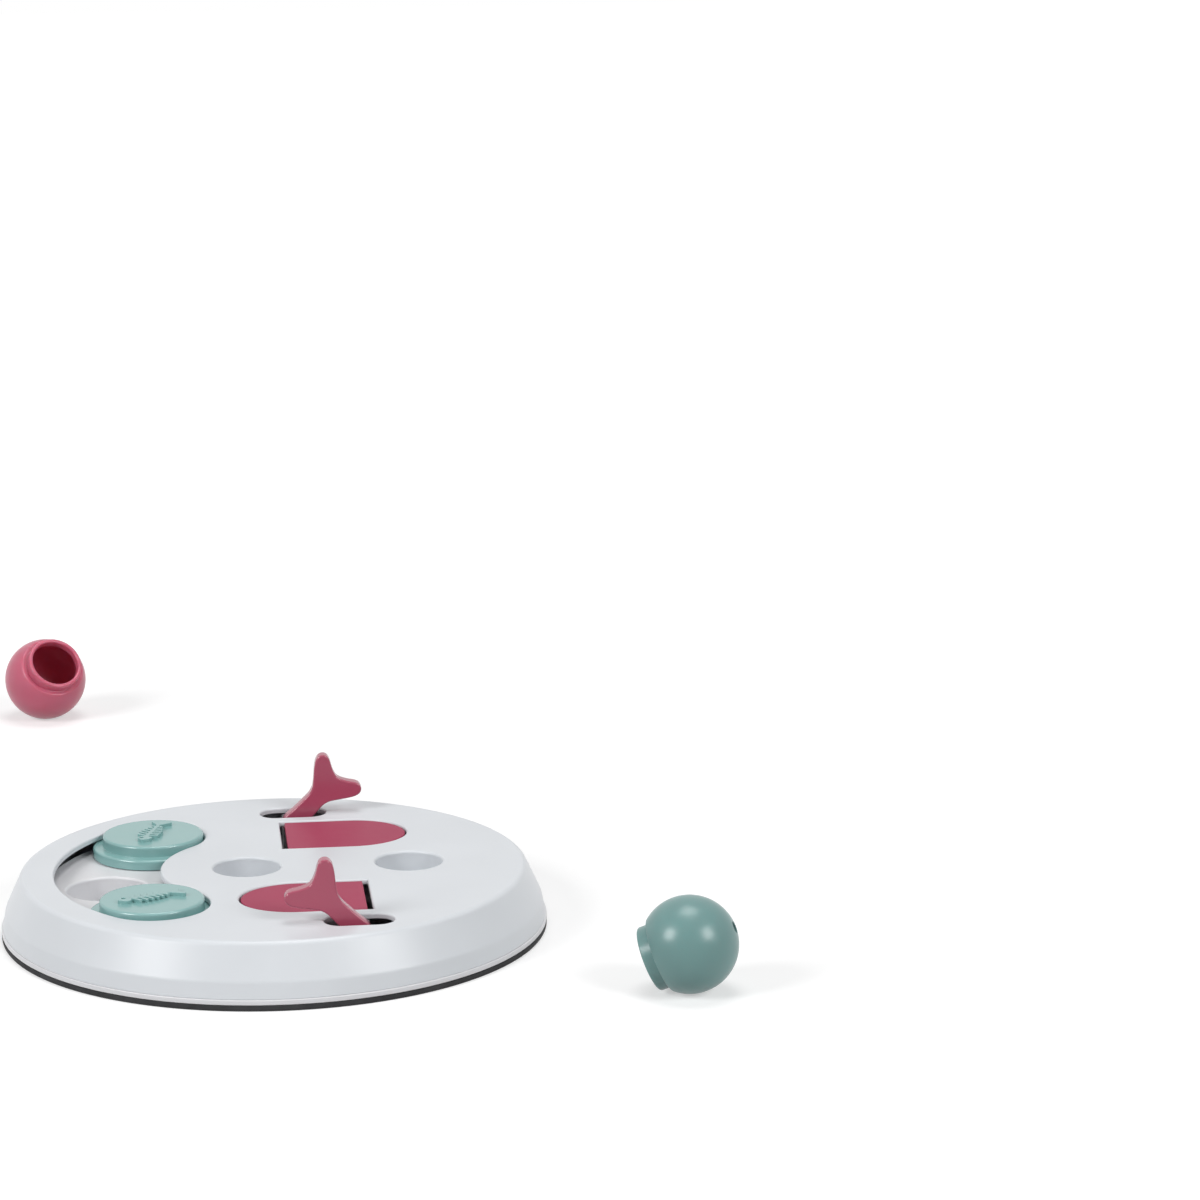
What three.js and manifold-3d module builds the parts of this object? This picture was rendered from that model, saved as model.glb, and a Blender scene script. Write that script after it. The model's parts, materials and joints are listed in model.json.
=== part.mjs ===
// Treat puzzle board with two loose balls, in millimetres, +Z up.
// The origin is the centre of the board on the floor. +X points from the slider slot to the round
// holes, and the front lever stands on the -Y side.

import * as THREE from 'three';
import { mergeVertices } from 'three/addons/utils/BufferGeometryUtils.js';
import Module from 'manifold-3d';

const wasm = await Module();
wasm.setup();

const { degToRad } = THREE.MathUtils;

// Driving dimensions
const BOARD_D = 230;
const BOARD_H = 26.5;
const COVER_WALL = 2.2;
const TRAY_WALL = 1.8;
const SLOT_WIDTH = 44.6; // slider slot
const FLAP_LENGTH = 47.8; // hinge line to the point of the flap's opening
const LEVER_WALL = 6;
const PIN_D = 4;
const BALL_D = 40;
const COLLAR_D = 27;

// Clearances
const REST_GAP = 0.3; // between pieces that lie or press on each other
const EDGE_GAP = 0.7; // round a flap in its opening, and round a collar or knob in its hole
const SWING_GAP = 0.5; // between a moving piece and what it passes

// Facets of round shapes
const SEG_BIG = 64;
const SEG_MID = 28;
const SEG_SMALL = 12;
const arcSteps = (r) => Math.max(2, Math.round(1.8 * Math.sqrt(r)));
const polar = (r, angle) => [r * Math.cos(angle), r * Math.sin(angle)];

// Ring, tray rim and cover foot, from the floor up
const BOARD_R = BOARD_D / 2;
const RING_H = 2.4;
const RING_WIDTH = 10;
const RING_ROUND = 0.8;
const TRAY_LIFT = 1; // tray underside above the floor
const FLOOR_Z = TRAY_LIFT + TRAY_WALL;
const BAND_Z = RING_H + REST_GAP;
const BAND_TOP = BAND_Z + TRAY_WALL;
const UPSTAND_H = 3.6;
const UPSTAND_WALL = 1.6;

// Cover shell: a foot, a crease in the flank and a rounded rim
const FOOT_H = 6.7;
const FOOT_DRAFT = 1.8;
const RIM_INSET = 8.7;
const RIM_ROUND = 1.6;
const COVER_Z = BAND_TOP + REST_GAP;
const CREASE_R = BOARD_R - FOOT_DRAFT;
const CREASE_Z = COVER_Z + FOOT_H;
const RIM_R = BOARD_R - RIM_INSET;
const UNDER_Z = BOARD_H - COVER_WALL;

// Slider slot, sliders and the cups below them
const SLOT_LAND = 13.8; // flat top between the slot and the rim
const FLANGE_LAP = 3.6; // flange under the slot's edge
const FLANGE_H = 4.3;
const KNOB_RISE = 2.1; // knob top above the cover
const KNOB_WALL = 2.2;
const KNOB_ROUND = 1.2;
const CUP_SEAT = 4.6; // what a knob covers round its cup
const CUP_LIP = 1.2;
const CUP_ROUND = 1;
const DECK_WALL = 1.8;
const DECK_LAND = 1.3; // deck beyond the flange
const FRONT_BACKSET = 2.3; // front slider short of the slot's end
const SLOT_HALF = SLOT_WIDTH / 2;
const SLOT_R = RIM_R - SLOT_LAND - SLOT_HALF;
const KNOB_R = SLOT_HALF - EDGE_GAP;
const FLANGE_R = SLOT_HALF + FLANGE_LAP;
const CUP_STEP = 2 * Math.asin((FLANGE_R + SWING_GAP) / SLOT_R);
const CUP_ANGLES = [Math.PI - CUP_STEP, Math.PI, Math.PI + CUP_STEP];
const CUP_R = KNOB_R - CUP_SEAT;
const FLANGE_TOP = UNDER_Z - SWING_GAP;
const SLIDER_Z = FLANGE_TOP - FLANGE_H;
const DECK_Z = SLIDER_Z - REST_GAP;
const DECK_HALF = FLANGE_R + DECK_LAND;
const SLIDER_REST = { front: CUP_ANGLES[2] - FRONT_BACKSET / SLOT_R, back: CUP_ANGLES[0] };

// Raised fish-bone figure on each knob
const BONE_LENGTH = 31;
const BONE_DRAWN = 28; // length that its corners are drawn for
const BONE_RISE = 1.5;
const BONE_ROOT = 0.4;
const BONE_TURN = { front: degToRad(22.5), back: degToRad(72) };

// Round holes for the balls' collars, moulded into the cover
const HOLE_DEPTH = 16;
const HOLE_WALL = 1.8;
const HOLE_LIP = 1.2;
const HOLE_SLOT_LAND = 22.2; // between the slider slot and the left hole
const HOLE_RIM_LAND = 35.1; // between the right hole and the rim
const HOLE_R = COLLAR_D / 2 + EDGE_GAP;
const HOLE_XS = [SLOT_HALF - SLOT_R + HOLE_SLOT_LAND + HOLE_R, RIM_R - HOLE_RIM_LAND - HOLE_R];

// Hinge line of the front flap and lever; the back pair is the same, turned half round
const PIN_FLAT = 0.6;
const PIN_RIM = 6.3; // pin end to the rim
const PIN_OVERHANG = 2; // pin beyond its end saddles
const FLAP_LAND = 11.76; // between the slider slot's round end and the flap's point
const PAIR_SHIFT = 20.2; // between the two hinge lines
const PIN_R = PIN_D / 2;
const HINGE_X = SLOT_HALF - SLOT_R * Math.cos(CUP_STEP) + FLAP_LAND + FLAP_LENGTH;
const HINGE_Z = UNDER_Z - SWING_GAP - PIN_R;
const PIN_OUT = -Math.sqrt((RIM_R - PIN_RIM) ** 2 - HINGE_X ** 2);
const PAIRS = {
  front: { x: HINGE_X, turn: 0 },
  back: { x: HINGE_X - PAIR_SHIFT, turn: Math.PI },
};

// Along the hinge line from the rim inwards: saddle, lever slot, saddle, flap opening, saddle
const SADDLE_DEPTH = 3;
const SADDLE_WIDTH = 9;
const SADDLE_RISE = 1.4; // saddle top above the hinge line
const SADDLE_SIDE = 1.5; // between the outer saddle and the lever slot
const LEVER_SIDE = 4.5; // lever slot's width on each side of the lever
const LEVER_LAND = 6.4; // between the lever slot and the flap opening
const HOLE_LAND = 10.9; // between the flap opening and the round holes
const SADDLE_OUT = PIN_OUT + PIN_OVERHANG + SADDLE_DEPTH / 2;
const LEVER_SLOT_HALF = LEVER_WALL / 2 + LEVER_SIDE;
const LEVER_Y = SADDLE_OUT + SADDLE_DEPTH / 2 + SADDLE_SIDE + LEVER_SLOT_HALF;
const OPENING_OUT = LEVER_Y + LEVER_SLOT_HALF + LEVER_LAND;
const OPENING_IN = -HOLE_R - HOLE_LAND;
const SADDLE_MID = OPENING_OUT - LEVER_LAND / 2;
const SADDLE_IN = OPENING_IN + EDGE_GAP + SADDLE_DEPTH / 2;

// Flap: a plate with a hinge barrel, rounded at its nose and square at its heel
const FLAP_SINK = 0.4; // flap top below the cover top
const FLAP_WALL = 2.2;
const FLAP_HEEL = 4.3; // reach behind the hinge line
const FLAP_NOSE = 24; // length of the rounded nose
const BARREL_WALL = 1.2;
const BARREL_INSET = 1;
const FLAP_Y = (OPENING_OUT + OPENING_IN) / 2;
const FLAP_HALF = (OPENING_IN - OPENING_OUT) / 2;
const FLAP_TOP = BOARD_H - FLAP_SINK - HINGE_Z; // above the hinge line
const HEEL_REACH = Math.hypot(FLAP_HEEL, FLAP_TOP) + SWING_GAP;
const BARREL_R = PIN_R + REST_GAP + BARREL_WALL;

// Lever: a fish-tail blade that leans over the flap
const LEVER_LEAN = degToRad(43.5);
const LEVER_ROUND = 1.6;
const LEVER_STEM = 4.4; // half width where it leaves the slot
const LEVER_SWING = 3.8; // slot beyond the leaning stem
const LEVER_RISE = BOARD_H - HINGE_Z;
const LEVER_SLOT_REACH =
  LEVER_RISE * Math.tan(LEVER_LEAN) + LEVER_STEM / Math.cos(LEVER_LEAN) + LEVER_SWING;
// One edge from the back of the hub to the notch, as distance along and half width
const LEVER_EDGE = [
  [-5, 0], [-3.5, 3.6], [0, 4.9], [5, LEVER_STEM], [10, LEVER_STEM - 0.3], [14.5, LEVER_STEM - 0.4],
  [17.4, 4.7], [19.4, 5.9], [22.4, 8.2], [25.1, 10.3], [27.7, 11.9], [30, 12.4], [31.9, 11.5],
  [32.7, 9.6], [32.1, 7.5], [30.5, 4.9], [29.2, 2.2], [28.7, 0],
];

// Basins under the flaps, which stand on the tray floor
const BASIN_INSET = 1;
const BASIN_WALL = 1.6;
const BASIN_TOP = FLAP_TOP - FLAP_WALL - REST_GAP; // above the hinge line

// Balls: how far each lies from the board, in which direction, and where its collar points
const BALL_WALL = 2;
const COLLAR_WALL = 1.9;
const COLLAR_H = 2.9;
const VENT_R = 2.5;
const BALL_R = BALL_D / 2;
const BALLS = {
  ball_teal: { away: 62.2, bearing: degToRad(-34.5), collar: [-0.897, 0.211, -0.388] },
  ball_pink: { away: 242.9, bearing: degToRad(105.4), collar: [0.319, -0.698, 0.642] },
};

// Screws from below, through pockets of the tray into bosses of the cover
const SCREW_R = 1.2;
const SCREW_HEAD_R = 3;
const SCREW_HEAD_H = 2;
const SCREW_SLOT = 0.8;
const SCREW_BITE = 9; // length in the boss
const BORE_SPARE = 1; // bore beyond the screw's end
const POCKET_R = 5.4;
const POCKET_DEPTH = 2;
const POCKET_ROOF = 2.2;
const BOSS_R = 3.8;
const POCKET_SEAT = FLOOR_Z + POCKET_DEPTH;
const POCKET_TOP = POCKET_SEAT + POCKET_ROOF;
const BOSS_Z = POCKET_TOP + REST_GAP;
const SCREW_AT = [
  polar(RIM_R - 14.3, 0),
  polar(RIM_R - 8.3, degToRad(-50.8)),
  polar(RIM_R - 8.3, degToRad(50.8)),
  polar(RIM_R - 12.2, degToRad(-93)),
  polar(RIM_R - 10.2, degToRad(102)),
  [(HOLE_XS[0] - HOLE_R - HOLE_WALL - SLOT_R + DECK_HALF) / 2, 0], // between the deck and a hole
];

const PAST = 5; // how far a cutter runs beyond what it cuts

// Helpers that turn three.js geometry into closed solids and back
function solid(geometry) {
  const bare = geometry.clone();
  bare.deleteAttribute('normal');
  bare.deleteAttribute('uv');
  const welded = mergeVertices(bare, 1e-4);
  const index = welded.index.array;
  const faces = [];
  for (let i = 0; i < index.length; i += 3) {
    const [a, b, c] = [index[i], index[i + 1], index[i + 2]];
    if (a !== b && b !== c && c !== a) faces.push(a, b, c);
  }
  const mesh = new wasm.Mesh({
    numProp: 3,
    vertProperties: new Float32Array(welded.attributes.position.array),
    triVerts: new Uint32Array(faces),
  });
  return new wasm.Manifold(mesh);
}

function geometryOf(manifold) {
  const mesh = manifold.getMesh();
  const geometry = new THREE.BufferGeometry();
  geometry.setAttribute('position', new THREE.BufferAttribute(mesh.vertProperties, 3));
  geometry.setIndex(new THREE.BufferAttribute(mesh.triVerts, 1));
  geometry.computeVertexNormals();
  return geometry;
}

const join = (...solids) => solids.reduce((sum, s) => sum.add(s));
const cut = (from, ...tools) => tools.reduce((rest, s) => rest.subtract(s), from);

// Points along the round of one corner, or the corner itself where it has no radius
function cornerArc([ax, ay], [bx, by, r = 0], [cx, cy]) {
  if (!r) return [[bx, by]];
  const into = new THREE.Vector2(ax - bx, ay - by).normalize();
  const out = new THREE.Vector2(cx - bx, cy - by).normalize();
  const half = Math.acos(THREE.MathUtils.clamp(into.dot(out), -1, 1)) / 2;
  const middle = into.clone().add(out).normalize().multiplyScalar(r / Math.sin(half));
  const touch = into.clone().multiplyScalar(r / Math.tan(half));
  const start = Math.atan2(touch.y - middle.y, touch.x - middle.x);
  const turn = Math.sign(into.cross(out)) * (Math.PI - 2 * half);
  const steps = arcSteps(r);
  const points = [];
  for (let i = 0; i <= steps; i++) {
    const [x, y] = polar(r, start - (turn * i) / steps);
    points.push([bx + middle.x + x, by + middle.y + y]);
  }
  return points;
}

function roundedOutline(corners) {
  const n = corners.length;
  return corners.flatMap((b, i) => cornerArc(corners[(i + n - 1) % n], b, corners[(i + 1) % n]));
}

function roundedPath(corners) {
  const inner = corners.slice(1, -1);
  const middle = inner.flatMap((b, i) => cornerArc(corners[i], b, corners[i + 2]));
  return [corners[0], ...middle, corners[corners.length - 1]];
}

// Where two lines cross, each given as two points
function crossing([ax, ay, bx, by], [cx, cy, dx, dy]) {
  const t =
    ((cx - ax) * (dy - cy) - (cy - ay) * (dx - cx)) /
    ((bx - ax) * (dy - cy) - (by - ay) * (dx - cx));
  return [ax + t * (bx - ax), ay + t * (by - ay)];
}

// A line moved to its left
function shiftedLine([ax, ay], [bx, by], distance) {
  const length = Math.hypot(bx - ax, by - ay);
  const nx = (-(by - ay) / length) * distance;
  const ny = ((bx - ax) / length) * distance;
  return [ax + nx, ay + ny, bx + nx, by + ny];
}

function turned(profile, segments) {
  const points = profile.map(([r, z]) => new THREE.Vector2(r, z));
  return new THREE.LatheGeometry(points, segments).rotateX(Math.PI / 2);
}

function prism(outline, z0, z1) {
  const shape = new THREE.Shape(outline.map(([x, y]) => new THREE.Vector2(x, y)));
  const geometry = new THREE.ExtrudeGeometry(shape, { depth: z1 - z0, bevelEnabled: false });
  return solid(geometry.translate(0, 0, z0));
}

function post(r, z0, z1, x = 0, y = 0, segments = SEG_SMALL) {
  const geometry = new THREE.CylinderGeometry(r, r, z1 - z0, segments).rotateX(Math.PI / 2);
  return solid(geometry.translate(x, y, (z0 + z1) / 2));
}

function block(x0, x1, y0, y1, z0, z1) {
  const geometry = new THREE.BoxGeometry(x1 - x0, y1 - y0, z1 - z0);
  return solid(geometry.translate((x0 + x1) / 2, (y0 + y1) / 2, (z0 + z1) / 2));
}

// A bar along the hinge line, which is the Y axis here
function hingeBar(r, y0, y1) {
  return solid(new THREE.CylinderGeometry(r, r, y1 - y0, SEG_SMALL).translate(0, (y0 + y1) / 2, 0));
}

// A hinge bar with a flat on top, which keys the lever to the flap
function keyedBar(r, y0, y1, flatZ) {
  return cut(hingeBar(r, y0, y1), block(-r, r, y0 - PAST, y1 + PAST, flatZ, r + PAST));
}

// A solid drawn about the hinge line, copied to both pairs' places on the board
function atPairs(manifold) {
  const copies = Object.values(PAIRS).map(({ x, turn }) =>
    solid(geometryOf(manifold).rotateZ(turn).translate(x, 0, HINGE_Z)),
  );
  return join(...copies);
}

// A slot bent round the board's centre on the -X side, with round ends
function bentSlot(half) {
  const steps = SEG_BIG / 4;
  const [first, , last] = CUP_ANGLES;
  const arc = ([cx, cy], r, from, to) =>
    Array.from({ length: steps }, (_, i) => {
      const [x, y] = polar(r, from + ((to - from) * i) / steps);
      return [cx + x, cy + y];
    });
  return [
    ...arc([0, 0], SLOT_R + half, first, last),
    ...arc(polar(SLOT_R, last), half, last, last + Math.PI),
    ...arc([0, 0], SLOT_R - half, last, first),
    ...arc(polar(SLOT_R, first), half, first - Math.PI, first),
  ];
}

// A cutter for a round cup: a rounded bottom, and a rounded lip at the top
function cupCutter(r, bottom, top, lip, x, y) {
  const profile = roundedPath([
    [0, bottom],
    [r, bottom, CUP_ROUND],
    [r, top, lip],
    [r + 2 * lip, top],
    [r + 2 * lip, top + PAST],
    [0, top + PAST],
  ]);
  return solid(turned(profile, SEG_MID).translate(x, y, 0));
}

// A flap's opening about the hinge line, or an outline inside it, counterclockwise from its heel
function flapOutline(heel, inset = 0) {
  const [along, across] = [FLAP_NOSE - inset, FLAP_HALF - inset];
  const [x, y] = [FLAP_NOSE - FLAP_LENGTH, FLAP_Y];
  const nose = new THREE.EllipseCurve(x, y, along, across, Math.PI / 2, 1.5 * Math.PI);
  return [
    [heel - inset, y + across],
    ...nose.getPoints(SEG_MID / 2).map((p) => p.toArray()),
    [heel - inset, y - across],
  ];
}

// The rounds fall a hair short of half the width, so that two of them never meet in one point
function leverSlotOutline() {
  const [x, y, round] = [LEVER_SLOT_REACH, LEVER_SLOT_HALF, 0.99 * LEVER_SLOT_HALF];
  return roundedOutline([
    [-x, LEVER_Y - y, round],
    [x, LEVER_Y - y, round],
    [x, LEVER_Y + y, round],
    [-x, LEVER_Y + y, round],
  ]);
}

// Cover: a turned shell with its slots, ball cups and screw bosses
function makeCover() {
  const outside = [
    [BOARD_R, COVER_Z],
    [CREASE_R, CREASE_Z],
    [RIM_R, BOARD_H, RIM_ROUND],
    [0, BOARD_H],
  ];
  const sides = [0, 1, 2].map((i) => shiftedLine(outside[i], outside[i + 1], COVER_WALL));
  const inside = [
    [0, UNDER_Z],
    crossing(sides[1], sides[2]),
    crossing(sides[0], sides[1]),
    crossing(sides[0], [0, COVER_Z, 1, COVER_Z]),
  ];
  let cover = solid(turned([...inside, ...roundedPath(outside)], SEG_BIG));
  const skin = BOARD_H - COVER_WALL / 2;
  const cupFoot = BOARD_H - HOLE_DEPTH - HOLE_WALL;
  for (const x of HOLE_XS) cover = join(cover, post(HOLE_R + HOLE_WALL, cupFoot, skin, x, 0, SEG_MID));
  for (const [x, y] of SCREW_AT) cover = join(cover, post(BOSS_R, BOSS_Z, skin, x, y));
  const through = [LEVER_RISE - COVER_WALL - PAST, LEVER_RISE + PAST];
  cover = cut(
    cover,
    prism(bentSlot(SLOT_HALF), UNDER_Z - PAST, BOARD_H + PAST),
    atPairs(prism(flapOutline(HEEL_REACH), ...through)),
    atPairs(prism(leverSlotOutline(), ...through)),
  );
  for (const x of HOLE_XS) {
    cover = cut(cover, cupCutter(HOLE_R, BOARD_H - HOLE_DEPTH, BOARD_H, HOLE_LIP, x, 0));
  }
  for (const [x, y] of SCREW_AT) {
    const boreTop = BOSS_Z + SCREW_BITE + BORE_SPARE;
    cover = cut(cover, post(SCREW_R + REST_GAP, BOSS_Z - PAST, boreTop, x, y));
  }
  return cover;
}

// The tray's floor, its step round the ring, its rim band and the upstand that centres the cover
function makeTrayShell() {
  const step = BOARD_R - RING_WIDTH - REST_GAP;
  const band = BOARD_R - REST_GAP;
  const upstandTop = BAND_TOP + UPSTAND_H;
  const coverInside = shiftedLine([BOARD_R, COVER_Z], [CREASE_R, CREASE_Z], COVER_WALL + SWING_GAP);
  const [upstand] = crossing(coverInside, [0, upstandTop, 1, upstandTop]);
  const profile = [
    [0, TRAY_LIFT],
    [step, TRAY_LIFT],
    [step, BAND_Z],
    [band, BAND_Z],
    [band, BAND_TOP],
    [upstand, BAND_TOP],
    [upstand, upstandTop],
    [upstand - UPSTAND_WALL, upstandTop],
    [upstand - UPSTAND_WALL, BAND_TOP],
    [step - TRAY_WALL, BAND_TOP],
    [step - TRAY_WALL, FLOOR_Z],
    [0, FLOOR_Z],
  ];
  return solid(turned(profile, SEG_BIG));
}

// Basin about the hinge line, under the flap and short of its hinge barrel
function makeBasin() {
  const heel = -BARREL_R - SWING_GAP;
  const foot = FLOOR_Z + REST_GAP - HINGE_Z;
  return cut(
    prism(flapOutline(heel, BASIN_INSET), foot, BASIN_TOP),
    prism(flapOutline(heel, BASIN_INSET + BASIN_WALL), foot + BASIN_WALL, BASIN_TOP + PAST),
  );
}

// Slider deck: a bent plate on three cups that stand on the tray floor
function makeDeck() {
  let deck = prism(bentSlot(DECK_HALF), DECK_Z - DECK_WALL, DECK_Z);
  const foot = FLOOR_Z + REST_GAP;
  for (const angle of CUP_ANGLES) {
    const [x, y] = polar(SLOT_R, angle);
    deck = join(deck, post(CUP_R + DECK_WALL, foot, DECK_Z, x, y, SEG_MID));
    deck = cut(deck, cupCutter(CUP_R, foot + DECK_WALL, DECK_Z, CUP_LIP, x, y));
  }
  return deck;
}

// A post with a notch that the hinge pin lies in
function makeSaddle(y) {
  const [y0, y1] = [y - SADDLE_DEPTH / 2, y + SADDLE_DEPTH / 2];
  const notch = PIN_R + REST_GAP;
  return cut(
    block(-SADDLE_WIDTH / 2, SADDLE_WIDTH / 2, y0, y1, TRAY_LIFT - HINGE_Z, SADDLE_RISE),
    hingeBar(notch, y0 - PAST, y1 + PAST),
    block(-notch, notch, y0 - PAST, y1 + PAST, 0, SADDLE_RISE + PAST),
  );
}

// Tray: shell, pin saddles and screw pockets
function makeTray() {
  let tray = makeTrayShell();
  for (const y of [SADDLE_IN, SADDLE_MID, SADDLE_OUT]) tray = join(tray, atPairs(makeSaddle(y)));
  for (const [x, y] of SCREW_AT) {
    tray = join(tray, post(POCKET_R, TRAY_LIFT, POCKET_TOP, x, y));
    tray = cut(
      tray,
      post(SCREW_HEAD_R + SWING_GAP, TRAY_LIFT - PAST, POCKET_SEAT, x, y),
      post(SCREW_R + REST_GAP, TRAY_LIFT, POCKET_TOP + PAST, x, y),
    );
  }
  return tray;
}

function makeRing() {
  const inner = BOARD_R - RING_WIDTH;
  const profile = roundedPath([
    [inner, 0],
    [BOARD_R, 0, RING_ROUND],
    [BOARD_R, RING_H],
    [inner, RING_H],
    [inner, 0],
  ]);
  return solid(turned(profile, SEG_BIG));
}

// Raised figure: a head, a backbone with slanted ribs and a tail fin
function makeBone(knobTop) {
  const k = BONE_LENGTH / BONE_DRAWN;
  const raise = (corners) => {
    const outline = roundedOutline(corners.map((c) => c.map((v) => v * k)));
    return prism(outline, knobTop - BONE_ROOT, knobTop + BONE_RISE);
  };
  const head = raise([[-14, 0, 1.5], [-8.4, -4.4, 1.6], [-6.2, 0, 2], [-8.4, 4.4, 1.6]]);
  const spine = raise([[-7, -0.65], [10, -0.65], [10, 0.65], [-7, 0.65]]);
  const tail = raise([[6.8, 0, 0.6], [13.6, -5.9, 0.8], [11, 0, 0.8], [13.6, 5.9, 0.8]]);
  const ribs = [4, 3.9, 3.5, 2.9, 2.2].flatMap((half, i) => {
    const at = -5 + 2.6 * i;
    const slant = 0.45 * half;
    return [1, -1].map((side) =>
      raise([[at, 0], [at + 1.4, 0], [at + slant + 1.3, side * half], [at + slant, side * half]]),
    );
  });
  return join(head, spine, tail, ...ribs);
}

// Slider about its own axis: a hollow knob that stands up through the slot, on a flange below it
function makeSlider() {
  const knobTop = BOARD_H + KNOB_RISE;
  const bore = KNOB_R - KNOB_WALL;
  const profile = roundedPath([
    [0, knobTop - KNOB_WALL],
    [bore, knobTop - KNOB_WALL],
    [bore, SLIDER_Z],
    [FLANGE_R, SLIDER_Z],
    [FLANGE_R, FLANGE_TOP, KNOB_ROUND],
    [KNOB_R, FLANGE_TOP],
    [KNOB_R, knobTop, KNOB_ROUND],
    [0, knobTop],
  ]);
  return join(solid(turned(profile, SEG_MID)), makeBone(knobTop));
}

function pinBore(y0, y1) {
  return keyedBar(PIN_R + REST_GAP, y0 - PAST, y1 + PAST, PIN_R - PIN_FLAT + REST_GAP);
}

// Flap about the hinge line
function makeFlap() {
  const outline = flapOutline(FLAP_HEEL + EDGE_GAP, EDGE_GAP);
  const plate = prism(outline, FLAP_TOP - FLAP_WALL, FLAP_TOP);
  const half = FLAP_HALF - EDGE_GAP - BARREL_INSET;
  const barrel = hingeBar(BARREL_R, FLAP_Y - half, FLAP_Y + half);
  return cut(join(plate, barrel), pinBore(FLAP_Y - half, FLAP_Y + half));
}

// Lever about the hinge line
function makeLever() {
  const right = LEVER_EDGE.map(([u, w]) => new THREE.Vector2(u, -w));
  const left = LEVER_EDGE.slice(0, -1).map(([u, w]) => new THREE.Vector2(u, w)).reverse();
  const edge = new THREE.SplineCurve([...right, ...left]).getPoints(3 * LEVER_EDGE.length);
  const blade = new THREE.ExtrudeGeometry(new THREE.Shape(edge.slice(0, -1)), {
    depth: LEVER_WALL - 2 * LEVER_ROUND,
    bevelThickness: LEVER_ROUND,
    bevelSize: LEVER_ROUND,
    bevelOffset: -LEVER_ROUND,
    bevelSegments: 2,
  });
  blade.translate(0, 0, LEVER_ROUND - LEVER_WALL / 2);
  blade.rotateX(Math.PI / 2);
  blade.rotateY(-Math.PI / 2 - LEVER_LEAN);
  blade.translate(0, LEVER_Y, 0);
  return cut(solid(blade), pinBore(LEVER_Y - LEVER_WALL / 2, LEVER_Y + LEVER_WALL / 2));
}

// Pin about the hinge line
function makePin() {
  const inner = SADDLE_IN + SADDLE_DEPTH / 2 + PIN_OVERHANG;
  return keyedBar(PIN_R, PIN_OUT, inner, PIN_R - PIN_FLAT);
}

// Screw about its own axis, with a straight slot across its head
function makeScrew() {
  const headTop = POCKET_SEAT - REST_GAP;
  const headFoot = headTop - SCREW_HEAD_H;
  const head = post(SCREW_HEAD_R, headFoot, headTop);
  const shank = post(SCREW_R, headFoot + SCREW_SLOT, BOSS_Z + SCREW_BITE);
  const [r, half] = [SCREW_HEAD_R, SCREW_SLOT / 2];
  return cut(join(head, shank), block(-r, r, -half, half, headFoot - PAST, headFoot + SCREW_SLOT));
}

// Ball about its centre, collar up: a hollow sphere with a vent hole opposite its collar
function makeBall() {
  const inR = BALL_R - BALL_WALL;
  const outCollar = COLLAR_D / 2;
  const inCollar = outCollar - COLLAR_WALL;
  const collarEnd = Math.sqrt(BALL_R ** 2 - outCollar ** 2) + COLLAR_H;
  const sweep = (r, from, to, steps) =>
    Array.from({ length: steps + 1 }, (_, i) => polar(r, from + ((to - from) * i) / steps));
  const profile = [
    ...sweep(BALL_R, -Math.acos(VENT_R / BALL_R), Math.acos(outCollar / BALL_R), 9),
    [outCollar, collarEnd],
    [inCollar, collarEnd],
    ...sweep(inR, Math.acos(inCollar / inR), -Math.acos(VENT_R / inR), 7),
  ];
  return solid(turned([...profile, profile[0]], SEG_MID));
}

const FINISH = {
  cover: { color: 0xe4e7e9, roughness: 0.45, metalness: 0 },
  tray: { color: 0xd6d9db, roughness: 0.5, metalness: 0 },
  rubber: { color: 0x3b3c40, roughness: 0.85, metalness: 0 },
  slider: { color: 0x9cc6c0, roughness: 0.45, metalness: 0 },
  flap: { color: 0xab4a66, roughness: 0.4, metalness: 0 },
  steel: { color: 0xb9bcc0, roughness: 0.3, metalness: 1 },
  ball_teal: { color: 0x6f9a97, roughness: 0.3, metalness: 0 },
  ball_pink: { color: 0xb4607a, roughness: 0.3, metalness: 0 },
};

function named(name, finish, manifold) {
  const mesh = new THREE.Mesh(geometryOf(manifold), new THREE.MeshStandardMaterial(FINISH[finish]));
  mesh.name = name;
  return mesh;
}

const board = new THREE.Group();
board.name = 'puzzle_board';
board.add(named('top_cover', 'cover', makeCover()));
board.add(named('base_tray', 'tray', makeTray()));
board.add(named('slider_deck', 'tray', makeDeck()));
board.add(named('rubber_ring', 'rubber', makeRing()));

for (const [side, angle] of Object.entries(SLIDER_REST)) {
  const slider = named(`slider_${side}`, 'slider', makeSlider());
  slider.position.set(...polar(SLOT_R, angle), 0);
  slider.rotation.z = BONE_TURN[side];
  board.add(slider);
}

for (const [side, { x, turn }] of Object.entries(PAIRS)) {
  const pair = new THREE.Group();
  pair.add(named(`basin_${side}`, 'tray', makeBasin()));
  pair.add(named(`flap_${side}`, 'flap', makeFlap()));
  pair.add(named(`lever_${side}`, 'flap', makeLever()));
  pair.add(named(`hinge_pin_${side}`, 'steel', makePin()));
  pair.position.set(x, 0, HINGE_Z);
  pair.rotation.z = turn;
  board.add(pair);
}

SCREW_AT.forEach(([x, y], i) => {
  const screw = named(`screw_${i + 1}`, 'steel', makeScrew());
  screw.position.set(x, y, 0);
  board.add(screw);
});

for (const [name, { away, bearing, collar }] of Object.entries(BALLS)) {
  const ball = named(name, name, makeBall());
  const aim = new THREE.Vector3(...collar).normalize();
  ball.position.set(...polar(BOARD_R + away + BALL_R, bearing), BALL_R);
  ball.quaternion.setFromUnitVectors(new THREE.Vector3(0, 0, 1), aim);
  board.add(ball);
}

export default board;
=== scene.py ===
"""A round treat puzzle board and its two loose balls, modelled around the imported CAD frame."""

import json
import math

import bpy
from bpy.props import FloatProperty, FloatVectorProperty, PointerProperty
from mathutils import Matrix, Vector


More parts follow.
